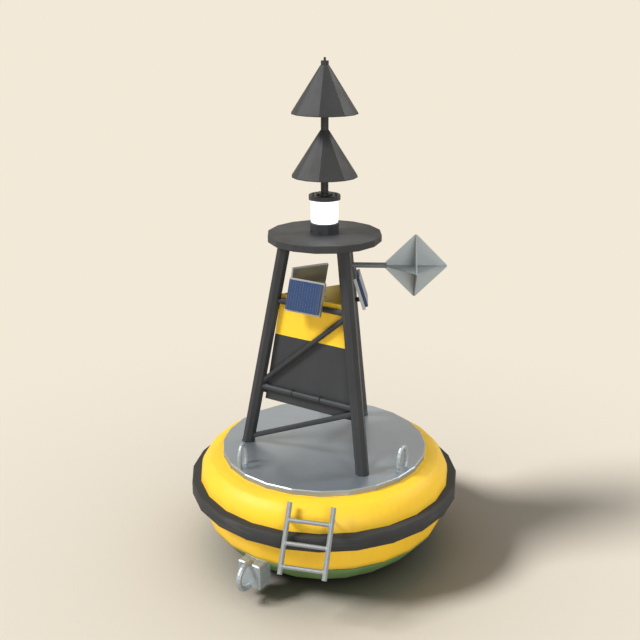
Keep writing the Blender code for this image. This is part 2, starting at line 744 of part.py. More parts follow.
def make_paints():
    return {
        "yellow": finish("yellow", (0.90, 0.56, 0.02), 0.45),
        "green": finish("green", (0.08, 0.13, 0.035), 0.6),
        "rubber": finish("rubber", (0.03, 0.03, 0.03), 0.75),
        "deck": finish("deck", (0.26, 0.28, 0.29), 0.5, 0.6),
        "black": finish("black", (0.035, 0.035, 0.035), 0.5),
        "aluminium": finish("aluminium", (0.55, 0.57, 0.60), 0.4, 0.8),
        "blue": finish("blue", (0.03, 0.06, 0.16), 0.2),
        "galvanised": finish("galvanised", (0.42, 0.45, 0.46), 0.45, 0.7),
        "reflector": finish("reflector", (0.38, 0.42, 0.42), 0.4, 0.7),
        "lens": finish("lens", (0.95, 0.95, 0.95), 0.15),
    }


def main():
    clear_scene()
    paints = make_paints()
    make_hull(paints)
    make_fender(paints)
    make_deck(paints)
    hull, fender = hull_cutter(), fender_cutter()
    make_lifting_eyes(paints)
    make_mooring_eyes(paints, hull)
    leg_cutters = make_tower(paints)
    seat = make_platform(paints)
    spindle_foot = make_lantern(paints, seat)
    make_topmark(paints, spindle_foot)
    make_reflector(paints, leg_cutters)
    make_ladder(paints, hull, fender)


main()
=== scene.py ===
# %% [markdown]
# # A navigation buoy, dressed for a studio picture
# The buoy's solid shapes come ready made from CAD, in metres, with +Z up and the origin in the
# middle of its flat base. Blender's work here is what CAD leaves out: paint, rubber, zinc and
# glass, weld beads, bolts, solar cells and the ribs of the lantern's lens. The solids are kept
# as they are, and each new piece is measured from them, so it always sits on what carries it.

# %% Load the buoy
import math

import bmesh
import bpy
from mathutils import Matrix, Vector
from mathutils.bvhtree import BVHTree


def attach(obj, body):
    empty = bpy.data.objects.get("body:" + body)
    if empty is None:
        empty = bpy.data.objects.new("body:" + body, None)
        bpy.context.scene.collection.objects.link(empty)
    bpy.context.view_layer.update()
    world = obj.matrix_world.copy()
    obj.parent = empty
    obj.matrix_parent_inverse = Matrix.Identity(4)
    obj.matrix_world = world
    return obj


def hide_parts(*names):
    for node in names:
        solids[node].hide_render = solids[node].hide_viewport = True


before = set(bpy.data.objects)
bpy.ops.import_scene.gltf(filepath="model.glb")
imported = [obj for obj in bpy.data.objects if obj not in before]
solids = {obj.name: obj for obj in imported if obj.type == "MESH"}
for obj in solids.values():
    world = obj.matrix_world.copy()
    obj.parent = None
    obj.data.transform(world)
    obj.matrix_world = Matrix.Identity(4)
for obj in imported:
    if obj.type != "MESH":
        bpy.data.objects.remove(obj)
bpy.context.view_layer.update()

# %% [markdown]
# ## Camera
# A camera is a place, a point to look at and a lens. The buoy is seen from a little above its
# topmark's tip, from about ten metres away, so that the deck opens up as an ellipse and the tower
# narrows only slightly. Aiming by a vector is easier to read than typing in angles. The Standard
# view shows each colour as it is written, where other views bend it.

# %% Set up the camera
CAMERA_PLACE = Vector((0.316, -9.465, 5.965))
CAMERA_TARGET = Vector((-0.047, -0.002, 2.698))
CAMERA_LENS = 52.21
SENSOR_WIDTH = 36.0


def aim(thing, target):
    thing.rotation_euler = (target - thing.location).to_track_quat("-Z", "Y").to_euler()


camera_data = bpy.data.cameras.new("camera")
camera_data.lens = CAMERA_LENS
camera_data.sensor_width = SENSOR_WIDTH
camera = bpy.data.objects.new("camera", camera_data)
bpy.context.scene.collection.objects.link(camera)
camera.location = CAMERA_PLACE
aim(camera, CAMERA_TARGET)
bpy.context.scene.camera = camera
bpy.context.scene.view_settings.view_transform = "Standard"
print("camera distance:", round((CAMERA_PLACE - CAMERA_TARGET).length, 2))

# %% [markdown]
# ## Small helpers for node trees
# Every finish and every repeated shape below is a tree of nodes. A few helpers keep those trees
# short: put adds a node and fills its sockets, with a number or with a link, place_on reads the
# place of a point on the buoy, and combined does one sum. Patterns read Object coordinates,
# because the solids sit at the origin unturned, so one metre in the pattern is one metre on the
# buoy. A new finish starts from Blender's main shader, and wire fills the sockets of that shader.

# %% Node helpers
EVEN = (1.0, 1.0, 1.0)


def put(tree, kind, sockets=None, **settings):
    node = tree.nodes.new(kind)
    for key, value in settings.items():
        setattr(node, key, value)
    for key, value in (sockets or {}).items():
        if isinstance(value, bpy.types.NodeSocket):
            tree.links.new(value, node.inputs[key])
        else:
            node.inputs[key].default_value = value
    return node


def place_on(tree, stretch=EVEN):
    place = put(tree, "ShaderNodeTexCoord").outputs["Object"]
    return put(tree, "ShaderNodeMapping", {"Vector": place, "Scale": stretch}).outputs["Vector"]


def combined(tree, first, second, operation="MULTIPLY"):
    return put(tree, "ShaderNodeMath", {0: first, 1: second}, operation=operation).outputs[0]


def new_finish(name, metallic=0.0):
    finish = bpy.data.materials.new(name)
    finish.use_nodes = True
    shader = finish.node_tree.nodes["Principled BSDF"]
    shader.inputs["Metallic"].default_value = metallic
    return finish, finish.node_tree, shader


def wire(tree, shader, **links):
    for key, value in links.items():
        socket = shader.inputs[key.replace("_", " ")]
        if isinstance(value, bpy.types.NodeSocket):
            tree.links.new(value, socket)
        else:
            socket.default_value = value


print("node helpers are ready")

# %% [markdown]
# ## Backdrop
# A product studio has a paper sweep: floor and background are one pale surface with no corner.
# A curved sheet would do it from one side only, so this is a wide disc, which works all round.
# Near the buoy it is lit like any floor and takes the shadow, and far away it fades into the
# plain backdrop colour, which the world shows as well. The fade only shows to camera, mirror and
# glass rays, so the backdrop adds no light of its own. An ambient occlusion node darkens the
# paper under and around the hull, as a soft contact shadow, and a power below one softens it.

# %% Build the floor
FLOOR_RADIUS = 90.0
FLOOR_SIDES = 96
FADE_START = 2.6
FADE_END = 8.0
CONTACT_REACH = 9.0
CONTACT_SOFTNESS = 0.8
BACKDROP = (0.896, 0.815, 0.686, 1.0)
FLOOR_COLOUR = (0.82, 0.745, 0.628)
PAPER = {"Roughness": 0.9, "Specular_IOR_Level": 0.1}


def seen_rays(tree):
    rays = put(tree, "ShaderNodeLightPath").outputs
    seen = combined(tree, rays["Is Camera Ray"], rays["Is Glossy Ray"], "MAXIMUM")
    return combined(tree, seen, rays["Is Transmission Ray"], "MAXIMUM")


def floor_finish():
    finish, tree, paper = new_finish("backdrop_paper")
    near = put(tree, "ShaderNodeAmbientOcclusion", {"Distance": CONTACT_REACH}).outputs["AO"]
    lit = combined(tree, near, CONTACT_SOFTNESS, "POWER")
    shade = put(tree, "ShaderNodeVectorMath", {0: FLOOR_COLOUR, 3: lit}, operation="SCALE").outputs[0]
    wire(tree, paper, Base_Color=shade, **PAPER)
    reach = put(tree, "ShaderNodeVectorMath", {0: place_on(tree)}, operation="LENGTH").outputs["Value"]
    fade = put(tree, "ShaderNodeMapRange", {"Value": reach, "From Min": FADE_START, "From Max": FADE_END},
               interpolation_type="SMOOTHSTEP").outputs["Result"]
    share = combined(tree, fade, seen_rays(tree))
    glow = put(tree, "ShaderNodeEmission", {"Color": BACKDROP}).outputs[0]
    mix = put(tree, "ShaderNodeMixShader", {0: share, 1: paper.outputs[0], 2: glow}).outputs[0]
    tree.links.new(mix, tree.nodes["Material Output"].inputs["Surface"])
    return finish


floor_mesh = bmesh.new()
bmesh.ops.create_circle(floor_mesh, cap_ends=True, segments=FLOOR_SIDES, radius=FLOOR_RADIUS)
floor_data = bpy.data.meshes.new("floor")
floor_mesh.to_mesh(floor_data)
floor_mesh.free()
floor_data.materials.append(floor_finish())
floor = bpy.data.objects.new("floor", floor_data)
bpy.context.scene.collection.objects.link(floor)
print("floor radius:", FLOOR_RADIUS)

# %% [markdown]
# ## World
# The world is the studio's own dim light from all round. What it gives and what it shows are two
# things: objects get a weak white light, while rays that are seen meet the backdrop's colour.
# One colour for both would either flood the buoy with light or leave the background dark.

# %% Build the world
AMBIENT = (1.0, 1.0, 1.0, 1.0)
AMBIENT_LEVEL = 0.27

world = bpy.data.worlds.new("studio")
world.use_nodes = True
bpy.context.scene.world = world
sky = world.node_tree
ambient = sky.nodes["Background"]
ambient.inputs["Color"].default_value = AMBIENT
ambient.inputs["Strength"].default_value = AMBIENT_LEVEL
shown = put(sky, "ShaderNodeBackground", {"Color": BACKDROP})
sky_mix = put(sky, "ShaderNodeMixShader", {0: seen_rays(sky), 1: ambient.outputs[0],
                                           2: shown.outputs[0]})
sky.links.new(sky_mix.outputs[0], sky.nodes["World Output"].inputs["Surface"])
print("ambient level:", AMBIENT_LEVEL)

# %% [markdown]
# ## Lamps
# A broad sun on the left gives the buoy its form: its width makes the shadow's edge soft, and its
# height sets how far the shadow reaches. Two weaker ones fill the shaded side and pick out edges,
# such as the deck's rim. They are linked to the buoy alone, so that the floor shows one shadow.
# Suns are used because their light is even, so the wide floor has no bright spot. Each row gives
# a lamp's azimuth, elevation and width in degrees, its level, and whether it lights only the buoy.

# %% Place the lamps
LAMPS = (
    ("key_lamp", 195.2, 43.8, 17.0, 1.14, False),
    ("edge_lamp", 23.8, 40.0, 16.0, 0.43, True),
    ("front_lamp", 287.0, 12.0, 30.0, 0.46, True),
)
LAMP_DISTANCE = 10.0
ORIGIN = Vector((0.0, 0.0, 0.0))
UP = Vector((0.0, 0.0, 1.0))

buoy_only = bpy.data.collections.new("buoy_only")
for solid in solids.values():
    buoy_only.objects.link(solid)


# The level direction at an angle from +X
def outward(turn):
    return Vector((math.cos(turn), math.sin(turn), 0.0))


def add_lamp(name, azimuth, elevation, width, level, only_buoy):
    data = bpy.data.lights.new(name, "SUN")
    data.angle = math.radians(width)
    data.energy = level * math.pi
    lamp = bpy.data.objects.new(name, data)
    bpy.context.scene.collection.objects.link(lamp)
    rise = math.radians(elevation)
    direction = math.cos(rise) * outward(math.radians(azimuth)) + math.sin(rise) * UP
    lamp.location = LAMP_DISTANCE * direction
    aim(lamp, ORIGIN)
    if only_buoy:
        lamp.light_linking.receiver_collection = buoy_only


for lamp_row in LAMPS:
    add_lamp(*lamp_row)
print("lamps:", [row[0] for row in LAMPS])

# %% [markdown]
# ## Tools for finishes
# Real coatings are never one flat colour. Four small tools build that: soft clouds of noise, a
# range that turns a noise into the strength wanted, a mix of two colours, and a bump that raises
# the surface by about a millimetre or less. Each returns a socket, so they chain like words. In
# the recipes below a pattern is a pair, its clouds for each metre and its detail, and a rise is a
# pair as well, its strength and its height in metres.

# %% Finish tools
def clouds(tree, scale, detail, stretch=EVEN):
    where = place_on(tree, stretch)
    noise = put(tree, "ShaderNodeTexNoise", {"Vector": where, "Scale": scale, "Detail": detail})
    return noise.outputs["Fac"]


def spread(tree, value, span, result=(0.0, 1.0)):
    sockets = {"Value": value, "From Min": span[0], "From Max": span[1],
               "To Min": result[0], "To Max": result[1]}
    return put(tree, "ShaderNodeMapRange", sockets).outputs["Result"]


def mixed(tree, share, first, second):
    return put(tree, "ShaderNodeMix", {0: share, 6: first, 7: second}, data_type="RGBA").outputs[2]


def raised(tree, height, strength, distance, before=None):
    sockets = {"Height": height, "Strength": strength, "Distance": distance}
    if before:
        sockets["Normal"] = before
    return put(tree, "ShaderNodeBump", sockets).outputs["Normal"]


finishes = {}
print("finish tools are ready")

# %% [markdown]
# ## Marine paint
# Steel buoys get thick two-pack paint, rolled or sprayed on: satin, with a faint orange peel,
# a little chalked by the sun, and with thin rain streaks down the upright faces. A photo of paint
# would need unwrapping and would repeat, so noise draws it all. Clouds of two sizes vary the
# colour by a few hundredths, and noise stretched along Z draws the streaks. One recipe serves
# every painted part. An optional inside colour is a painted sheen: a face whose normal points at
# the tower's axis takes it. It is a paler, greyer colour that stands in for the whitish reflection
# such faces show in shade.

# %% Paint recipe
FADING = (1.7, 3.0)
FADING_SPAN = (0.35, 0.7)
RUNS = (1.0, 4.0)
RUN_STRETCH = (16.0, 16.0, 0.9)
RUN_SPAN = (0.52, 0.8)
RUN_STRENGTH = 0.22
# Painted sheen: how far a face must turn towards the axis to take the inside colour
INSIDE_SHEEN_SPAN = (0.0, -0.1)
PEEL = (260.0, 2.0)
PEEL_RISE = (0.18, 0.0006)
WAVES = (9.0, 3.0)
WAVE_RISE = (0.10, 0.004)
SHEEN = (5.0, 4.0)
SHEEN_SPAN = (0.3, 0.7)
LEVEL_ONLY = (1.0, 1.0, 0.0)


def facing_out(tree):
    normal = put(tree, "ShaderNodeNewGeometry").outputs["Normal"]
    return put(tree, "ShaderNodeVectorMath", {0: normal, 1: place_on(tree, LEVEL_ONLY)},
               operation="DOT_PRODUCT").outputs["Value"]


def marine_paint(name, fresh, chalked, grime, gloss, shine, inside_sheen=None):
    finish, tree, shader = new_finish(name)
    colour = mixed(tree, spread(tree, clouds(tree, *FADING), FADING_SPAN), fresh, chalked)
    run = spread(tree, clouds(tree, *RUNS, RUN_STRETCH), RUN_SPAN, (0.0, RUN_STRENGTH))
    colour = mixed(tree, run, colour, grime)
    # Painted sheen: faces turned towards the tower's axis take the paler inside colour
    if inside_sheen:
        colour = mixed(tree, spread(tree, facing_out(tree), INSIDE_SHEEN_SPAN), colour, inside_sheen)
    peel = raised(tree, clouds(tree, *PEEL), *PEEL_RISE)
    waves = raised(tree, clouds(tree, *WAVES), *WAVE_RISE, peel)
    rough = spread(tree, clouds(tree, *SHEEN), SHEEN_SPAN, gloss)
    wire(tree, shader, Base_Color=colour, Roughness=rough, Normal=waves, Specular_IOR_Level=shine)
    return finish


print("paint streaks:", RUN_STRENGTH)

# %% [markdown]
# ## Yellow and black
# The same yellow covers the hull and the daymark's upper boards. Their inward faces take a paler,
# greyer yellow, a painted sheen that stands in for the whitish reflection they show in shade. The
# blacks differ mostly in gloss: tubes and the lantern are wiped clean and shine a little, while
# the platform and boards are duller. The topmark is the darkest, with a gloss between theirs.
# Each row of the table is one call of the recipe.

# %% Paints
YELLOW = (0.85, 0.522, 0.021, 1.0)
YELLOW_CHALKED = (0.82, 0.505, 0.030, 1.0)
YELLOW_GRIME = (0.56, 0.36, 0.055, 1.0)
# Painted sheen: the boards' inward faces take this paler, greyer yellow in place of their whitish
# reflection in shade
YELLOW_INSIDE_SHEEN = (0.84, 0.68, 0.27, 1.0)
BLACK = (0.031, 0.033, 0.036, 1.0)
BLACK_CHALKED = (0.038, 0.040, 0.043, 1.0)
BLACK_GRIME = (0.055, 0.056, 0.056, 1.0)
JET = (0.025, 0.026, 0.027, 1.0)

GLOSSY = (0.36, 0.46)
SMOOTH = (0.44, 0.56)
EGGSHELL = (0.46, 0.54)
SATIN = (0.50, 0.60)

PAINTS = (
    ("hull_yellow", YELLOW, YELLOW_CHALKED, YELLOW_GRIME, SMOOTH, 0.35),
    ("daymark_yellow", YELLOW, YELLOW_CHALKED, YELLOW_GRIME, SMOOTH, 0.35, YELLOW_INSIDE_SHEEN),
    ("tower_black", BLACK, BLACK_CHALKED, BLACK_GRIME, GLOSSY, 0.20),
    ("lantern_body", BLACK, BLACK_CHALKED, BLACK_GRIME, GLOSSY, 0.20),
    ("platform_black", BLACK, BLACK_CHALKED, BLACK_GRIME, SATIN, 0.22),
    ("daymark_black", BLACK, BLACK_CHALKED, BLACK_GRIME, SATIN, 0.22),
    ("topmark_black", JET, BLACK, BLACK_GRIME, EGGSHELL, 0.26),
)

for paint_row in PAINTS:
    finishes[paint_row[0]] = marine_paint(*paint_row)
print("paints:", len(PAINTS))

# %% [markdown]
# ## Antifouling
# Below the water the hull wears antifouling, a soft matt green that slowly washes off. It is
# blotchy, and darker in flecks where weed has stained it. A narrow line along its top edge, where
# it meets the yellow, is darker still. Two noises at different scales give blotches and flecks,
# the height above the base gives the line, and the finish has hardly any gloss.

# %% Green underside
GREEN = (0.100, 0.188, 0.052, 1.0)
GREEN_WORN = (0.082, 0.150, 0.054, 1.0)
GREEN_DARK = (0.040, 0.065, 0.030, 1.0)
BLOTCHES = (3.5, 4.0)
BLOTCH_SPAN = (0.35, 0.65)
FLECKS = (38.0, 5.0)
FLECK_SPAN = (0.60, 0.72)
FLECK_STRENGTH = 0.55
WATERLINE = 0.449
TOP_LINE_WIDTH = 0.022
TOP_LINE_STRENGTH = 0.85
GRIT = (120.0, 4.0)
GRIT_RISE = (0.35, 0.0012)
GREEN_ROUGHNESS = 0.75


def antifouling():
    finish, tree, shader = new_finish("hull_green")
    colour = mixed(tree, spread(tree, clouds(tree, *BLOTCHES), BLOTCH_SPAN), GREEN, GREEN_WORN)
    flecks = spread(tree, clouds(tree, *FLECKS), FLECK_SPAN, (0.0, FLECK_STRENGTH))
    colour = mixed(tree, flecks, colour, GREEN_DARK)
    height = put(tree, "ShaderNodeSeparateXYZ", {0: place_on(tree)}).outputs["Z"]
    # A narrow darker band along the top edge of the green, just under where it meets the yellow
    line = spread(tree, height, (WATERLINE - TOP_LINE_WIDTH, WATERLINE), (0.0, TOP_LINE_STRENGTH))
    colour = mixed(tree, line, colour, GREEN_DARK)
    grit = raised(tree, clouds(tree, *GRIT), *GRIT_RISE)
    wire(tree, shader, Base_Color=colour, Roughness=GREEN_ROUGHNESS, Normal=grit)
    return finish


finishes["hull_green"] = antifouling()
print("stain line:", TOP_LINE_WIDTH, "high, under the height", WATERLINE)

# %% [markdown]
# ## Rubber fender
# The belt is moulded rubber. It is matt and dark grey rather than black, with a fine skin, and
# ships' sides leave pale scuffs along it. Noise that changes fast in height and slowly along
# the belt draws those scuffs, and a second, broad noise keeps them to a few places.

# %% Rubber
RUBBER = (0.029, 0.030, 0.031, 1.0)
RUBBER_DUSTY = (0.036, 0.037, 0.038, 1.0)
RUBBER_SCUFF = (0.070, 0.070, 0.069, 1.0)
DUST = (2.4, 4.0)
DUST_SPAN = (0.35, 0.7)
SCUFFS = (2.2, 5.0)
SCUFF_STRETCH = (1.0, 1.0, 26.0)
SCUFF_PLACES = (1.5, 3.0)
SCUFF_SPAN = (0.30, 0.42)
SCUFF_STRENGTH = 0.6
SKIN = (420.0, 2.0)
SKIN_RISE = (0.25, 0.0008)
MOULDED = {"Roughness": 0.68, "Specular_IOR_Level": 0.25}


def rubber():
    finish, tree, shader = new_finish("fender")
    colour = mixed(tree, spread(tree, clouds(tree, *DUST), DUST_SPAN), RUBBER, RUBBER_DUSTY)
    rubbed = combined(tree, clouds(tree, *SCUFFS, SCUFF_STRETCH), clouds(tree, *SCUFF_PLACES))
    scuffs = spread(tree, rubbed, SCUFF_SPAN, (0.0, SCUFF_STRENGTH))
    colour = mixed(tree, scuffs, colour, RUBBER_SCUFF)
    skin = raised(tree, clouds(tree, *SKIN), *SKIN_RISE)
    wire(tree, shader, Base_Color=colour, Normal=skin, **MOULDED)
    return finish


finishes["fender"] = rubber()
print("scuff strength:", SCUFF_STRENGTH)

# %% [markdown]
# ## Deck plate
# The deck is bare alloy plate, rolled smooth, so it mirrors its surroundings softly and shows a
# fine grain in one direction. Broad noise wears it, finer noise leaves some dirt, and noise drawn
# out along the rolling direction is the grain, which moves both gloss and bump.

# %% Rolled plate
DECK = (0.295, 0.338, 0.388, 1.0)
DECK_WORN = (0.330, 0.375, 0.425, 1.0)
DECK_DIRT = (0.20, 0.205, 0.215, 1.0)
DECK_METALLIC = 0.75
DECK_GLOSS = (0.33, 0.43)
WEAR = (1.3, 4.0)
WEAR_SPAN = (0.35, 0.65)
DIRT = (7.0, 6.0)
DIRT_SPAN = (0.58, 0.78)
DIRT_STRENGTH = 0.16
GRAIN = (3.0, 5.0)
GRAIN_STRETCH = (1.0, 40.0, 1.0)
GRAIN_SPAN = (0.3, 0.7)
GRAIN_RISE = (0.05, 0.001)


def rolled_plate():
    finish, tree, shader = new_finish("deck_plate", DECK_METALLIC)
    colour = mixed(tree, spread(tree, clouds(tree, *WEAR), WEAR_SPAN), DECK, DECK_WORN)
    dirt = spread(tree, clouds(tree, *DIRT), DIRT_SPAN, (0.0, DIRT_STRENGTH))
    colour = mixed(tree, dirt, colour, DECK_DIRT)
    grain = clouds(tree, *GRAIN, GRAIN_STRETCH)
    rough = spread(tree, grain, GRAIN_SPAN, DECK_GLOSS)
    wire(tree, shader, Base_Color=colour, Roughness=rough, Normal=raised(tree, grain, *GRAIN_RISE))
    return finish


finishes["deck_plate"] = rolled_plate()
print("deck gloss:", DECK_GLOSS)

# %% [markdown]
# ## Zinc and alloy
# The ladder, eyes and mooring blocks are steel dipped in zinc, which freezes in flat crystals
# called spangle. Voronoi cells are those crystals: each takes its own shade between a dark and a
# light one. Zinc darkens unevenly as it weathers, so the ladder is darker than the eyes and the
# reflector's arm is the darkest. The reflector's plates and the panels' frames are alloy, whose
# surface has the same fine mottle with less contrast, so they come from the same recipe. Each row
# gives the two shades, how metallic the surface is, and its range of roughness.

# %% Zinc and alloy
SPANGLE = 85.0
DIPS = (45.0, 3.0)
DIP_RISE = (0.12, 0.0012)
ZINC_GLOSS = (0.44, 0.58)
METALS = (
    ("galvanised_steel", (0.27, 0.305, 0.325, 1.0), (0.38, 0.425, 0.45, 1.0), 0.5, ZINC_GLOSS),
    ("ladder_steel", (0.205, 0.225, 0.232, 1.0), (0.270, 0.295, 0.305, 1.0), 0.5, ZINC_GLOSS),
    ("arm_steel", (0.105, 0.113, 0.120, 1.0), (0.150, 0.160, 0.170, 1.0), 0.5, ZINC_GLOSS),
    ("reflector_plate", (0.285, 0.320, 0.335, 1.0), (0.320, 0.355, 0.370, 1.0), 0.6, (0.40, 0.52)),
    ("solar_frame", (0.370, 0.400, 0.415, 1.0), (0.385, 0.415, 0.430, 1.0), 0.8, (0.30, 0.38)),
)


def spangled(name, dark, light, metallic, gloss):
    finish, tree, shader = new_finish(name, metallic)
    cells = put(tree, "ShaderNodeTexVoronoi", {"Vector": place_on(tree), "Scale": SPANGLE})
    grey = put(tree, "ShaderNodeRGBToBW", {0: cells.outputs["Color"]}).outputs[0]
    rough = spread(tree, grey, (0.0, 1.0), gloss)
    dips = raised(tree, clouds(tree, *DIPS), *DIP_RISE)
    wire(tree, shader, Base_Color=mixed(tree, grey, dark, light), Roughness=rough, Normal=dips)
    return finish


for metal_row in METALS:
    finishes[metal_row[0]] = spangled(*metal_row)
print("metals:", [row[0] for row in METALS])

# %% [markdown]
# ## Glass and lens
# The solar panel is dark blue cells under glass, so a clear coat goes over the colour. The
# lantern is lit: its lens glows white and is left simple, because its light hides fine colour.

# %% Panel glass and lantern lens
PANEL_BLUE = (0.022, 0.048, 0.124, 1.0)
PANEL_BLUE_DEEP = (0.017, 0.040, 0.108, 1.0)
PANEL_CLOUDS = (22.0, 3.0)
GLAZED = {"Roughness": 0.35, "Coat_Weight": 0.25, "Coat_Roughness": 0.08, "Specular_IOR_Level": 0.2}
LENS_WHITE = (0.9, 0.9, 0.9, 1.0)
LIT = {"Roughness": 0.1, "Emission_Color": (1.0, 1.0, 1.0, 1.0), "Emission_Strength": 1.4}


def panel_glass():
    finish, tree, shader = new_finish("solar_glass")
    colour = mixed(tree, clouds(tree, *PANEL_CLOUDS), PANEL_BLUE_DEEP, PANEL_BLUE)
    wire(tree, shader, Base_Color=colour, **GLAZED)
    return finish


def lit_lens():
    finish, tree, shader = new_finish("lantern_lens")
    wire(tree, shader, Base_Color=LENS_WHITE, **LIT)
    return finish


finishes["solar_glass"] = panel_glass()
finishes["lantern_lens"] = lit_lens()
print("finishes:", len(finishes))

# %% [markdown]
# ## Put the finishes on the solids
# Each solid is named for what it is, and the start of its name says which finish it takes. Where
# two starts fit, the longer one holds.

# %% Assign the finishes
COVERS = {
    "hull_bottom": "hull_green",
    "hull_": "hull_yellow",
    "fender": "fender",
    "deck_plate": "deck_plate",
    "lifting_eye": "galvanised_steel",
    "mooring": "galvanised_steel",
    "ladder": "ladder_steel",
    "tower_leg": "tower_black",
    "ring_": "tower_black",
    "diagonal_": "tower_black",
    "solar_bracket": "tower_black",
    "reflector_crossbar": "tower_black",
    "daymark_lower": "daymark_black",
    "daymark_upper": "daymark_yellow",
    "solar_frame": "solar_frame",
    "solar_glass": "solar_glass",
    "platform": "platform_black",
    "lantern_lens": "lantern_lens",
    "lantern_": "lantern_body",
    "topmark": "topmark_black",
    "radar_reflector": "reflector_plate",
    "reflector_arm": "arm_steel",
}


def finish_for(name):
    starts = [start for start in COVERS if name.startswith(start)]
    return finishes[COVERS[max(starts, key=len)]]


for name, solid in solids.items():
    for surface in solid.material_slots:
        surface.material = finish_for(name)
print("dressed solids:", len(solids))

# %% [markdown]
# ## Tools for finished pieces
# A piece that is added here has to travel with the buoy, carry a named finish and be lit by the
# lamps that are linked to the buoy. Its finish is put on where it is made, and one helper does
# the rest. Others read a solid: a CAD mesh comes as loose triangles, so its doubled points are
# merged before it is used or measured.

# %% Piece helpers
MERGE_DISTANCE = 0.00005


def settle(piece, cover, *stands_for):
    bpy.context.scene.collection.objects.link(piece)
    buoy_only.objects.link(piece)
    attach(piece, "root")
    if stands_for:
        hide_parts(*stands_for)
    print(piece.name, "faces:", len(piece.data.polygons))


def merged(node):
    skin = bmesh.new()
    skin.from_mesh(solids[node].data)
    bmesh.ops.remove_doubles(skin, verts=skin.verts, dist=MERGE_DISTANCE)
    return skin


def corners_of(node):
    skin = merged(node)
    corners = [vert.co.copy() for vert in skin.verts]
    skin.free()
    return corners


def middle_of(points):
    return sum(points, Vector()) / len(points)


def heights_of(points):
    return [point.z for point in points]


def widest_of(points):
    return max(math.hypot(point.x, point.y) for point in points)


print("deck radius:", round(widest_of(corners_of("deck_plate")), 3))

# %% [markdown]
# ## Smooth hull and belt
# The hull is rolled and pressed plate and its belt is moulded rubber, so light should flow over
# both, while loose triangles each show their own flat shade. In a merged copy neighbouring faces
# share corners, so Blender can blend the shade between them. Edges sharper than thirty degrees,
# such as the belt's rim, stay crisp. The shoulder's knuckle, where its top plate is bent down to
# the side, is gentler than that, so this one ring of edges is kept crisp by its height.

# %% Smooth the hull and the belt
CRISP_ANGLE = math.radians(30.0)
RING_SLACK = 0.001
SMOOTH_COPIES = (
    ("hull_upper", "shoulder_plating", "hull_yellow", 3),
    ("hull_lower", "side_plating", "hull_yellow", None),
    ("hull_bottom", "bottom_plating", "hull_green", None),
    ("fender", "fender_belt", "fender", None),
)


# Keep one ring of edges crisp, counted from the top
def keep_knuckle(data, count):
    rings = sorted({round(vert.co.z, 3) for vert in data.vertices})
    for edge in data.edges:
        rises = [data.vertices[corner].co.z for corner in edge.vertices]
        if all(abs(rise - rings[-count]) < RING_SLACK for rise in rises):
            edge.use_edge_sharp = True


def smooth_copy(node, name, cover, knuckle):
    skin = merged(node)
    bmesh.ops.recalc_face_normals(skin, faces=skin.faces)
    data = bpy.data.meshes.new(name)
    skin.to_mesh(data)
    skin.free()
    data.shade_smooth()
    data.set_sharp_from_angle(angle=CRISP_ANGLE)
    if knuckle:
        keep_knuckle(data, knuckle)
    data.materials.append(finishes[cover])
    settle(bpy.data.objects.new(name, data), cover, node)


for copy_row in SMOOTH_COPIES:
    smooth_copy(*copy_row)

# %% [markdown]
# ## Tools for Geometry Nodes
# Weld beads, clamps, bolts, solar cells and lens ribs all repeat, so each is a tree of nodes with
# its sizes as named inputs, grown on a small guide mesh that says where the pieces go. One helper
# opens a tree with its inputs, one closes it with a finish, and one runs it. The last keeps the
# result as a plain mesh and throws the guide away, because a plain mesh can be exported.

# %% Tree helpers
def open_tree(name, **sizes):
    tree = bpy.data.node_groups.new(name, "GeometryNodeTree")
    tree.interface.new_socket("Guide", in_out="INPUT", socket_type="NodeSocketGeometry")
    for label in sizes:
        socket = tree.interface.new_socket(label, in_out="INPUT", socket_type="NodeSocketFloat")
        socket.default_value = sizes[label]
    tree.interface.new_socket("Result", in_out="OUTPUT", socket_type="NodeSocketGeometry")
    return tree, tree.nodes.new("NodeGroupInput").outputs


def close_tree(tree, shape, cover, smooth=True):
    real = put(tree, "GeometryNodeRealizeInstances", {0: shape}).outputs[0]
    shaded = put(tree, "GeometryNodeSetShadeSmooth", {0: real, 2: smooth}).outputs[0]
    coated = put(tree, "GeometryNodeSetMaterial", {0: shaded, 2: finishes[cover]}).outputs[0]
    put(tree, "NodeGroupOutput", {0: coated})
    return tree


def grow(name, tree, guide, cover, *stands_for, **sizes):
    carrier = bpy.data.objects.new(name + "_guide", guide)
    bpy.context.scene.collection.objects.link(carrier)
    step = carrier.modifiers.new(name, "NODES")
    step.node_group = tree
    for item in tree.interface.items_tree:
        if item.name in sizes:
            step[item.identifier] = sizes[item.name]
    result = carrier.evaluated_get(bpy.context.evaluated_depsgraph_get())
    data = bpy.data.meshes.new_from_object(result)
    bpy.data.objects.remove(carrier)
    data.name = name
    settle(bpy.data.objects.new(name, data), cover, *stands_for)


print("tree helpers are ready")

# %% [markdown]
# ## Guides
# A guide is a mesh without faces. It is either lines that a profile is swept along, or single
# points, each with the direction that its piece faces kept on it as a named attribute.

# %% Guide helpers
def line_guide(paths, closed=True):
    points, edges = [], []
    for path in paths:
        first = len(points)
        points += path
        edges += [(first + step, first + step + 1) for step in range(len(path) - 1)]
        if closed:
            edges.append((len(points) - 1, first))
    guide = bpy.data.meshes.new("line_guide")
    guide.from_pydata(points, edges, [])
    return guide


def add_vectors(guide, name, vectors):
    values = guide.attributes.new(name, "FLOAT_VECTOR", "POINT")
    for entry, vector in zip(values.data, vectors):
        entry.vector = vector


def point_guide(places):
    guide = bpy.data.meshes.new("point_guide")
    guide.from_pydata([place for place, facing in places], [], [])
    add_vectors(guide, "facing", [facing for place, facing in places])
    return guide


print("guide helpers are ready")

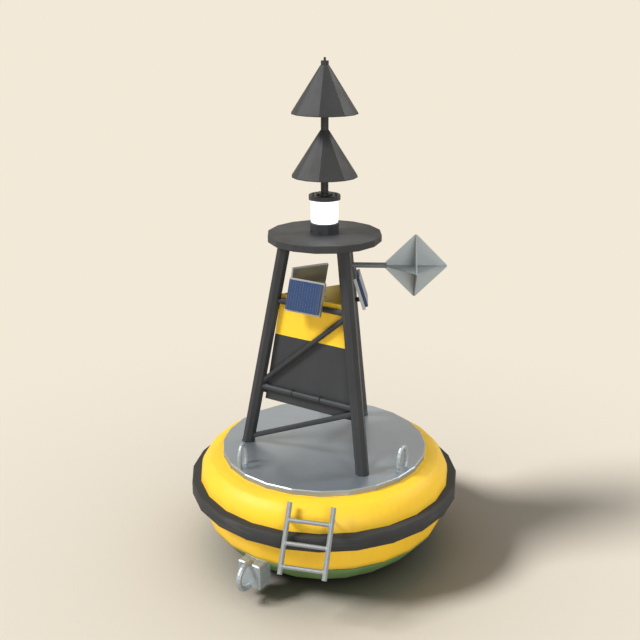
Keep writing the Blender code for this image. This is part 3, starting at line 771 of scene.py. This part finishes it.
# %% [markdown]
# ## Weld beads
# The tower, the ladder and the eyes are welded, and a weld is a small rippled bead along the line
# where two pieces meet. A plain tube along that line would look moulded, so a node tree sweeps a
# six-sided ring along it and lets the width swell and shrink with the length, like real ripples.

# %% Bead tree
BEAD_RADIUS = 0.005
BEAD_STEP = 0.003
BEAD_SIDES = 6
RIPPLE_PITCH = 0.011
RIPPLE_DEPTH = 0.13


def bead_tree(cover):
    tree, sizes = open_tree("bead_" + cover, Radius=BEAD_RADIUS, Step=BEAD_STEP,
                            Pitch=RIPPLE_PITCH, Ripple=RIPPLE_DEPTH)
    path = put(tree, "GeometryNodeMeshToCurve", {0: sizes["Guide"]}).outputs[0]
    path = put(tree, "GeometryNodeResampleCurve", {0: path, 3: sizes["Step"]}, mode="LENGTH").outputs[0]
    length = put(tree, "GeometryNodeSplineParameter").outputs["Length"]
    turns = combined(tree, length, sizes["Pitch"], "DIVIDE")
    wave = put(tree, "ShaderNodeMath", {0: combined(tree, turns, math.tau)}, operation="SINE").outputs[0]
    swell = combined(tree, combined(tree, wave, sizes["Ripple"]), 1.0, "ADD")
    ring = put(tree, "GeometryNodeCurvePrimitiveCircle", {0: BEAD_SIDES, 4: sizes["Radius"]}).outputs[0]
    bead = put(tree, "GeometryNodeCurveToMesh", {0: path, 1: ring, 2: swell, 3: True}).outputs[0]
    return close_tree(tree, bead, cover)


print("bead radius in mm:", 1000 * BEAD_RADIUS)

# %% [markdown]
# ## Where two pieces meet
# The lines of the welds are read from the solids, so that none has to be typed in: where a
# tube is cut to fit its carrier, the corners of its cut end lie on the carrier's skin. They are
# sorted into ends by their distance from each other, and each end's corners into a ring by their
# angle about the end's middle.

# %% Joint lines
TOUCH = 0.0012
skins = {}


def skin_of(node):
    if node not in skins:
        skin = merged(node)
        skins[node] = BVHTree.FromBMesh(skin)
        skin.free()
    return skins[node]


def ring_of(points, body):
    middle = middle_of(points)
    axis = (body - middle).normalized()
    first = axis.orthogonal().normalized()
    second = axis.cross(first)
    return sorted(points, key=lambda p: math.atan2((p - middle).dot(second), (p - middle).dot(first)))


# The closed lines where a piece meets its carrier, one for each end, which is no wider than span
def joints_of(node, carrier, span):
    corners = corners_of(node)
    skin = skin_of(carrier)
    touching = [p for p in corners if (skin.find_nearest(p)[3] or 0.0) < TOUCH]
    ends = []
    while touching:
        seed = touching[0]
        ends.append([p for p in touching if (p - seed).length < span])
        touching = [p for p in touching if (p - seed).length >= span]
    return [ring_of(end, middle_of(corners)) for end in ends if len(end) > 2]


print("touch distance in mm:", 1000 * TOUCH)

# %% [markdown]
# ## Which joints are welded
# Black beads go on the tower, zinc-coloured ones on the ladder, the eyes and the mooring blocks,
# and one yellow bead seals the deck to the hull. They are three pieces, because each piece
# carries one finish. The tower's three faces have the same braces, so one loop finds them all.

# %% Weld the tower
FACES = (1, 2, 3)
LEG_SPAN = 0.30
BRACE_SPAN = 0.25


def next_leg(face):
    return face % len(FACES) + 1


def tower_joints():
    paths = []
    for face in FACES:
        leg = f"tower_leg_{face}"
        ends = (leg, f"tower_leg_{next_leg(face)}")
        paths += joints_of(leg, "deck_plate", LEG_SPAN) + joints_of(leg, "platform", LEG_SPAN)
        for kind in ("ring_lower", "ring_upper", "diagonal_lower", "diagonal_upper"):
            for end in ends:
                paths += joints_of(f"{kind}_{face}", end, BRACE_SPAN)
        paths += joints_of(f"solar_bracket_{face}", f"ring_upper_{face}", BRACE_SPAN)
    for end in ("tower_leg_2", "tower_leg_3"):
        paths += joints_of("reflector_crossbar", end, BRACE_SPAN)
    return paths


tower_beads = tower_joints()
grow("tower_welds", bead_tree("tower_black"), line_guide(tower_beads), "tower_black")
print("tower joints:", len(tower_beads))

# %% [markdown]
# ## Welds on zinc and on the deck
# The zinc-coated pieces are found by name in the same way. The deck has one long seam, so its
# whole lower edge is the line. The fender is rubber, so the ladder's lower stays have no bead.

# %% Weld the steelwork and the deck
SMALL_SPAN = 0.10
BLOCK_SPAN = 0.80


def steel_joints():
    paths = joints_of("reflector_arm", "reflector_crossbar", BRACE_SPAN)
    for eye in (1, 2, 3):
        paths += joints_of(f"lifting_eye_{eye}", "deck_plate", SMALL_SPAN)
    for rail in ("ladder_rail_left", "ladder_rail_right"):
        paths += joints_of(rail, "hull_upper", SMALL_SPAN)
        for rung in (1, 2, 3):
            paths += joints_of(f"ladder_rung_{rung}", rail, SMALL_SPAN)
    for bracket in (1, 2):
        paths += joints_of(f"mooring_bracket_{bracket}", "hull_bottom", BLOCK_SPAN)
    return paths


# The deck's lower edge, where the plate is sealed to the hull
def deck_seam():
    corners = corners_of("deck_plate")
    low = min(heights_of(corners))
    edge = [p for p in corners if p.z < low + TOUCH]
    return [ring_of(edge, middle_of(corners))]


steel_beads = steel_joints()
grow("steel_welds", bead_tree("galvanised_steel"), line_guide(steel_beads), "galvanised_steel")
grow("deck_seam", bead_tree("hull_yellow"), line_guide(deck_seam()), "hull_yellow")
print("steel joints:", len(steel_beads))

# %% [markdown]
# ## Reflector stitches
# The reflector's three plates are thin, and a long weld would warp them, so they are stitched:
# short beads with gaps between them, in each of the four corners along each crossing line. The
# same bead tree is used, with open lines and a thinner bead.

# %% Stitch the reflector
PLATE_HALF = 0.0042
STITCH_STARTS = (0.07, 0.16, 0.25)
STITCH_LENGTH = 0.035
STITCH_RADIUS = 0.0032
CORNER_SIGNS = ((1, 1), (1, -1), (-1, -1), (-1, 1))


def box_middle(node):
    corners = corners_of(node)
    low = Vector([min(p[axis] for p in corners) for axis in range(3)])
    high = Vector([max(p[axis] for p in corners) for axis in range(3)])
    return (low + high) / 2


def stitches():
    centre = box_middle("radar_reflector")
    axes = (Vector((1, 0, 0)), Vector((0, 1, 0)), UP)
    lines = []
    for along, first, second in (axes, axes[1:] + axes[:1], axes[2:] + axes[:2]):
        for end in (along, -along):
            for a, b in CORNER_SIGNS:
                corner = centre + PLATE_HALF * (a * first + b * second)
                lines += [[corner + start * end, corner + (start + STITCH_LENGTH) * end]
                          for start in STITCH_STARTS]
    return lines


grow("reflector_stitches", bead_tree("reflector_plate"), line_guide(stitches(), closed=False),
     "reflector_plate", Radius=STITCH_RADIUS)

# %% [markdown]
# ## Rods
# The daymark boards are thin sheet, and they are held to the ring braces by U-bolts: a bent rod
# goes round the brace, through the board, and takes a washer and a nut behind it. A rod is a
# line swept with a round profile.

# %% Rod tree
ROD_RADIUS = 0.004
ROD_SIDES = 10


def rod_tree(cover):
    tree, sizes = open_tree("rod_" + cover, Radius=ROD_RADIUS)
    path = put(tree, "GeometryNodeMeshToCurve", {0: sizes["Guide"]}).outputs[0]
    ring = put(tree, "GeometryNodeCurvePrimitiveCircle", {0: ROD_SIDES, 4: sizes["Radius"]}).outputs[0]
    rod = put(tree, "GeometryNodeCurveToMesh", {0: path, 1: ring, 3: True}).outputs[0]
    return close_tree(tree, rod, cover)


print("rod radius in mm:", 1000 * ROD_RADIUS)

# %% [markdown]
# ## Nuts and bolts
# One tree makes nuts and bolt heads. It stands a hexagon on a washer at each guide point, turns
# it to face its way and gives it a random twist, because no fitter stops all of them at the same
# angle. A seed fixes those twists.

# %% Bolt tree
NUT_RADIUS = 0.0085
NUT_DEPTH = 0.007
NUT_SIDES = 6
WASHER_RADIUS = 0.0125
WASHER_DEPTH = 0.002
WASHER_SIDES = 20
TWIST_SEED = 7


def together(tree, *parts):
    node = tree.nodes.new("GeometryNodeJoinGeometry")
    for part in parts:
        tree.links.new(part, node.inputs[0])
    return node.outputs[0]


# A cylinder that stands on a height along Z
def drum(tree, sides, radius, depth, foot):
    rise = combined(tree, foot, combined(tree, depth, 0.5), "ADD")
    place = put(tree, "ShaderNodeCombineXYZ", {"Z": rise}).outputs[0]
    shape = put(tree, "GeometryNodeMeshCylinder", {0: sides, 3: radius, 4: depth}).outputs[0]
    return put(tree, "GeometryNodeTransform", {0: shape, "Translation": place}).outputs[0]


def named_vector(tree, name):
    return put(tree, "GeometryNodeInputNamedAttribute", {0: name}, data_type="FLOAT_VECTOR").outputs[0]


def bolt_tree(cover):
    tree, sizes = open_tree("bolt_" + cover, Head=NUT_RADIUS, Depth=NUT_DEPTH,
                            Washer=WASHER_RADIUS, Thickness=WASHER_DEPTH)
    washer = drum(tree, WASHER_SIDES, sizes["Washer"], sizes["Thickness"], 0.0)
    head = drum(tree, NUT_SIDES, sizes["Head"], sizes["Depth"], sizes["Thickness"])
    aimed = put(tree, "FunctionNodeAlignRotationToVector", {2: named_vector(tree, "facing")},
                axis="Z").outputs[0]
    bolts = put(tree, "GeometryNodeInstanceOnPoints", {0: sizes["Guide"], 2: together(tree, washer, head),
                                                       5: aimed}).outputs[0]
    twist = put(tree, "FunctionNodeRandomValue", {2: 0.0, 3: math.tau, 8: TWIST_SEED}).outputs[1]
    turn = put(tree, "ShaderNodeCombineXYZ", {"Z": twist}).outputs[0]
    turn = put(tree, "FunctionNodeEulerToRotation", {0: turn}).outputs[0]
    bolts = put(tree, "GeometryNodeRotateInstances", {0: bolts, 2: turn, 4: True}).outputs[0]
    return close_tree(tree, bolts, cover, smooth=False)


print("nut across its corners in mm:", 2000 * NUT_RADIUS)

# %% [markdown]
# ## Faces of the tower
# Each face of the tower leans, so its directions are worked out from its two legs: along the
# brace, out of the face and up the face. A leg's own foot and head give its line.

# %% Measure the faces
def leg_line(leg):
    corners = corners_of(f"tower_leg_{leg}")
    middle = (min(heights_of(corners)) + max(heights_of(corners))) / 2
    foot = middle_of([p for p in corners if p.z < middle])
    head = middle_of([p for p in corners if p.z > middle])
    return foot, head


def leg_at(leg, height):
    foot, head = leg_line(leg)
    return foot + (head - foot) * (height - foot.z) / (head.z - foot.z)


def face_frame(face, ring):
    height = middle_of(corners_of(f"{ring}_{face}")).z
    start, end = leg_at(face, height), leg_at(next_leg(face), height)
    foot, head = leg_line(face)
    along = (end - start).normalized()
    normal = along.cross(head - foot).normalized()
    if normal.dot(Vector((start.x + end.x, start.y + end.y, 0.0))) < 0.0:
        normal.negate()
    return start, end, normal, along.cross(normal).normalized()


face_normal = face_frame(1, "ring_lower")[2]
print("lean of a face in degrees:", round(math.degrees(math.asin(face_normal.z)), 1))

# %% [markdown]
# ## Clamps on the boards
# Two clamps hold the boards to each ring brace, at about a third and two thirds of its length.
# Their bows show in front, and their nuts sit behind.

# %% Bend the clamps
BRACE_RADIUS = 0.032
BOARD_BACK = 0.040
CLAMP_SHARES = (0.36, 0.64)
CLAMP_REACH = BRACE_RADIUS + ROD_RADIUS
ARC_STEPS = 12
ROD_TAIL = 0.014


def clamp_path(middle, normal, rise):
    bow = [math.pi * step / ARC_STEPS - math.pi / 2 for step in range(ARC_STEPS + 1)]
    arc = [middle + CLAMP_REACH * (math.cos(turn) * normal + math.sin(turn) * rise) for turn in bow]
    tail = (BOARD_BACK + ROD_TAIL) * normal
    return [middle - CLAMP_REACH * rise - tail] + arc + [middle + CLAMP_REACH * rise - tail]


def clamps():
    rods, nuts = [], {"ring_lower": [], "ring_upper": []}
    for face in FACES:
        for ring in nuts:
            start, end, normal, rise = face_frame(face, ring)
            for share in CLAMP_SHARES:
                middle = start + share * (end - start)
                rods.append(clamp_path(middle, normal, rise))
                for side in (-1, 1):
                    seat = middle + side * CLAMP_REACH * rise - BOARD_BACK * normal
                    nuts[ring].append((seat, -normal))
    return rods, nuts


rods, nuts = clamps()
grow("board_clamps", rod_tree("tower_black"), line_guide(rods, closed=False), "tower_black")

# %% [markdown]
# ## Nuts behind the boards
# A nut is painted with the board it sits on, so the upper ones are yellow and the lower ones
# black. Two black bolts hold each solar panel to its bracket's plate, either side of its tube.
# Their seats are found by asking the bracket's skin for the point nearest to where they should be.

# %% Seat the nuts and plate bolts
PLATE_BOLT_INSET = 0.022
PLATE_PROBE = 0.02


def plate_bolts():
    bolts = []
    for face in FACES:
        bracket = f"solar_bracket_{face}"
        corners = corners_of(bracket)
        panel = middle_of(corners_of(f"solar_frame_{face}"))
        out = Vector((panel.x, panel.y, 0.0)).normalized()
        along = Vector((-out.y, out.x, 0.0))
        reach = max((p - panel).dot(along) for p in corners)
        rim = [p for p in corners if abs((p - panel).dot(along)) > reach - TOUCH]
        for side in (-1, 1):
            near = middle_of(rim) + side * (reach - PLATE_BOLT_INSET) * along
            seat, normal = skin_of(bracket).find_nearest(near - PLATE_PROBE * out)[:2]
            bolts.append((seat, normal))
    return bolts


black_bolts = nuts["ring_lower"] + plate_bolts()
grow("lower_nuts", bolt_tree("tower_black"), point_guide(black_bolts), "tower_black")
grow("upper_nuts", bolt_tree("daymark_yellow"), point_guide(nuts["ring_upper"]), "daymark_yellow")
print("nuts and bolts:", len(black_bolts), "black and", len(nuts["ring_upper"]), "yellow")

# %% [markdown]
# ## Lantern bolts
# Eight bolts stand on the lantern's cap, and eight hold the base's skirt from the side. They are
# counted round the sixteen flats, one on every second flat, so each one sits on a flat face.

# %% Bolt the lantern together
LANTERN_SIDES = 16
LANTERN_BOLTS = LANTERN_SIDES // 2
LANTERN_TURN = math.radians(15.0)
HALF_FLAT = math.pi / LANTERN_SIDES
BASE_BOLT_RISE = 0.028
CAP_BOLT_RADIUS = 0.128


def bolt_circle(height, radius, upwards):
    bolts = []
    for step in range(LANTERN_BOLTS):
        out = outward(LANTERN_TURN + HALF_FLAT + math.tau * step / LANTERN_BOLTS)
        bolts.append((radius * out + height * UP, UP if upwards else out))
    return bolts


def lantern_bolts():
    base = corners_of("lantern_base")
    flat_radius = widest_of(base) * math.cos(HALF_FLAT)
    cap_steps = sorted({round(height, 3) for height in heights_of(corners_of("lantern_cap"))})
    return (bolt_circle(min(heights_of(base)) + BASE_BOLT_RISE, flat_radius, False)
            + bolt_circle(cap_steps[-2], CAP_BOLT_RADIUS, True))


grow("lantern_bolts", bolt_tree("lantern_body"), point_guide(lantern_bolts()), "lantern_body")

# %% [markdown]
# ## Lantern lens
# A marine lantern's lens is a Fresnel lens: a barrel of clear plastic with a stack of rounded
# rings that bend the light into a flat beam. One ring is a circle swept with a flattened round
# profile, a line of points stacks it, and a plain barrel fills the inside. It stands for the
# solid lens and keeps its size.

# %% Rib the lens
LENS_RIBS = 11
LENS_SIDES = 48
RIB_SIDES = 12
RIB_FILL = 1.04
RIB_WIDTH = 0.008

lens_corners = corners_of("lantern_lens")
lens_low, lens_high = min(heights_of(lens_corners)), max(heights_of(lens_corners))


def lens_tree():
    tree, sizes = open_tree("fresnel_lens", Radius=widest_of(lens_corners), Height=lens_high - lens_low,
                            Width=RIB_WIDTH, Ribs=LENS_RIBS)
    pitch = combined(tree, sizes["Height"], sizes["Ribs"], "DIVIDE")
    inner = combined(tree, sizes["Radius"], sizes["Width"], "SUBTRACT")
    hoop = put(tree, "GeometryNodeCurvePrimitiveCircle", {0: LENS_SIDES, 4: inner}).outputs[0]
    profile = put(tree, "GeometryNodeCurvePrimitiveCircle", {0: RIB_SIDES, 4: 1.0}).outputs[0]
    half = combined(tree, pitch, RIB_FILL / 2)
    size = put(tree, "ShaderNodeCombineXYZ", {"X": half, "Y": sizes["Width"], "Z": 1.0}).outputs[0]
    profile = put(tree, "GeometryNodeTransform", {0: profile, "Scale": size}).outputs[0]
    rib = put(tree, "GeometryNodeCurveToMesh", {0: hoop, 1: profile, 3: True}).outputs[0]
    step = put(tree, "ShaderNodeCombineXYZ", {"Z": pitch}).outputs[0]
    start = put(tree, "ShaderNodeCombineXYZ", {"Z": combined(tree, pitch, 0.5)}).outputs[0]
    stack = put(tree, "GeometryNodeMeshLine", {0: sizes["Ribs"], 2: start, 3: step}).outputs[0]
    ribs = put(tree, "GeometryNodeInstanceOnPoints", {0: stack, 2: rib}).outputs[0]
    barrel = drum(tree, LENS_SIDES, inner, sizes["Height"], 0.0)
    place = put(tree, "GeometryNodeInstanceOnPoints", {0: sizes["Guide"],
                                                       2: together(tree, ribs, barrel)}).outputs[0]
    return close_tree(tree, place, "lantern_lens")


grow("ribbed_lens", lens_tree(), point_guide([(lens_low * UP, UP)]), "lantern_lens", "lantern_lens")
print("lens height:", round(lens_high - lens_low, 3))

# %% [markdown]
# ## A sheet of solar cells
# Under a panel's glass lie rows of square silicon cells, joined by thin silver strips. Both are
# sheets of like tiles: a thin box on every point of a grid, set on each panel and turned by the
# panel's own two directions. One tree makes either, with other gaps between the tiles.

# %% Sheet tree
def sheet_tree(name, cover, columns, rows, **values):
    tree, sizes = open_tree(name, **values)
    wide = combined(tree, sizes["Width"], columns, "DIVIDE")
    high = combined(tree, sizes["Height"], rows, "DIVIDE")
    size = put(tree, "ShaderNodeCombineXYZ", {"X": combined(tree, wide, sizes["Gap across"], "SUBTRACT"),
                                              "Y": combined(tree, high, sizes["Gap along"], "SUBTRACT"),
                                              "Z": sizes["Depth"]}).outputs[0]
    tile = put(tree, "GeometryNodeMeshCube", {0: size}).outputs[0]
    across = combined(tree, sizes["Width"], wide, "SUBTRACT")
    upright = combined(tree, sizes["Height"], high, "SUBTRACT")
    spots = put(tree, "GeometryNodeMeshGrid", {0: across, 1: upright, 2: columns, 3: rows}).outputs[0]
    tiles = put(tree, "GeometryNodeInstanceOnPoints", {0: spots, 2: tile}).outputs[0]
    turn = put(tree, "FunctionNodeAxesToRotation", {0: named_vector(tree, "facing"),
                                                    1: named_vector(tree, "side")},
               primary_axis="Z", secondary_axis="X").outputs[0]
    sheet = put(tree, "GeometryNodeInstanceOnPoints", {0: sizes["Guide"], 2: tiles, 5: turn}).outputs[0]
    return close_tree(tree, sheet, cover, smooth=False)


print("sheet tree is ready")

# %% [markdown]
# ## Cells and strips
# The place and directions of each sheet, and the size that all three share, are read from the
# panels' glass and frames. Cells and strips are about half a millimetre thick, so that they catch
# a line of light and change nothing else. The strips are the thicker ones, so they show on top.

# %% Lay the cells and strips
CELL_COLUMNS = 6
CELL_ROWS = 5
CELL_GAP = 0.003
CELL_DEPTH = 0.0004
STRIPS_PER_CELL = 2
STRIP_COLUMNS = STRIPS_PER_CELL * CELL_COLUMNS
STRIP_WIDTH = 0.0006
STRIP_DEPTH = 0.0006
SHEET_MARGIN = 0.008


def reach_along(points, middle, direction):
    return max((point - middle).dot(direction) for point in points)


# The front of a panel's glass, its two directions and the size of its sheet
def panel_frame(face):
    corners = corners_of(f"solar_glass_{face}")
    glass, back = middle_of(corners), middle_of(corners_of(f"solar_frame_{face}"))
    facing = (glass - back).normalized()
    side = Vector((-facing.y, facing.x, 0.0)).normalized()
    width = 2 * (reach_along(corners, glass, side) - SHEET_MARGIN)
    height = 2 * (reach_along(corners, glass, facing.cross(side)) - SHEET_MARGIN)
    return glass + reach_along(corners, glass, facing) * facing, facing, side, width, height


panels = [panel_frame(face) for face in FACES]


def sheet_guide():
    guide = point_guide([panel[:2] for panel in panels])
    add_vectors(guide, "side", [panel[2] for panel in panels])
    return guide


sheet_width, sheet_height = panels[0][3:]
sheet_size = {"Width": sheet_width, "Height": sheet_height}
cell_gaps = {"Gap across": CELL_GAP, "Gap along": CELL_GAP}
strip_gaps = {"Gap across": sheet_width / STRIP_COLUMNS - STRIP_WIDTH, "Gap along": 0.0}
cell_tree = sheet_tree("cell_sheet", "solar_glass", CELL_COLUMNS, CELL_ROWS, Depth=CELL_DEPTH,
                       **sheet_size, **cell_gaps)
strip_tree = sheet_tree("strip_sheet", "solar_frame", STRIP_COLUMNS, 1, Depth=STRIP_DEPTH,
                        **sheet_size, **strip_gaps)
grow("solar_cells", cell_tree, sheet_guide(), "solar_glass")
grow("cell_strips", strip_tree, sheet_guide(), "solar_frame")
print("sheet of cells:", round(sheet_width, 3), "by", round(sheet_height, 3))
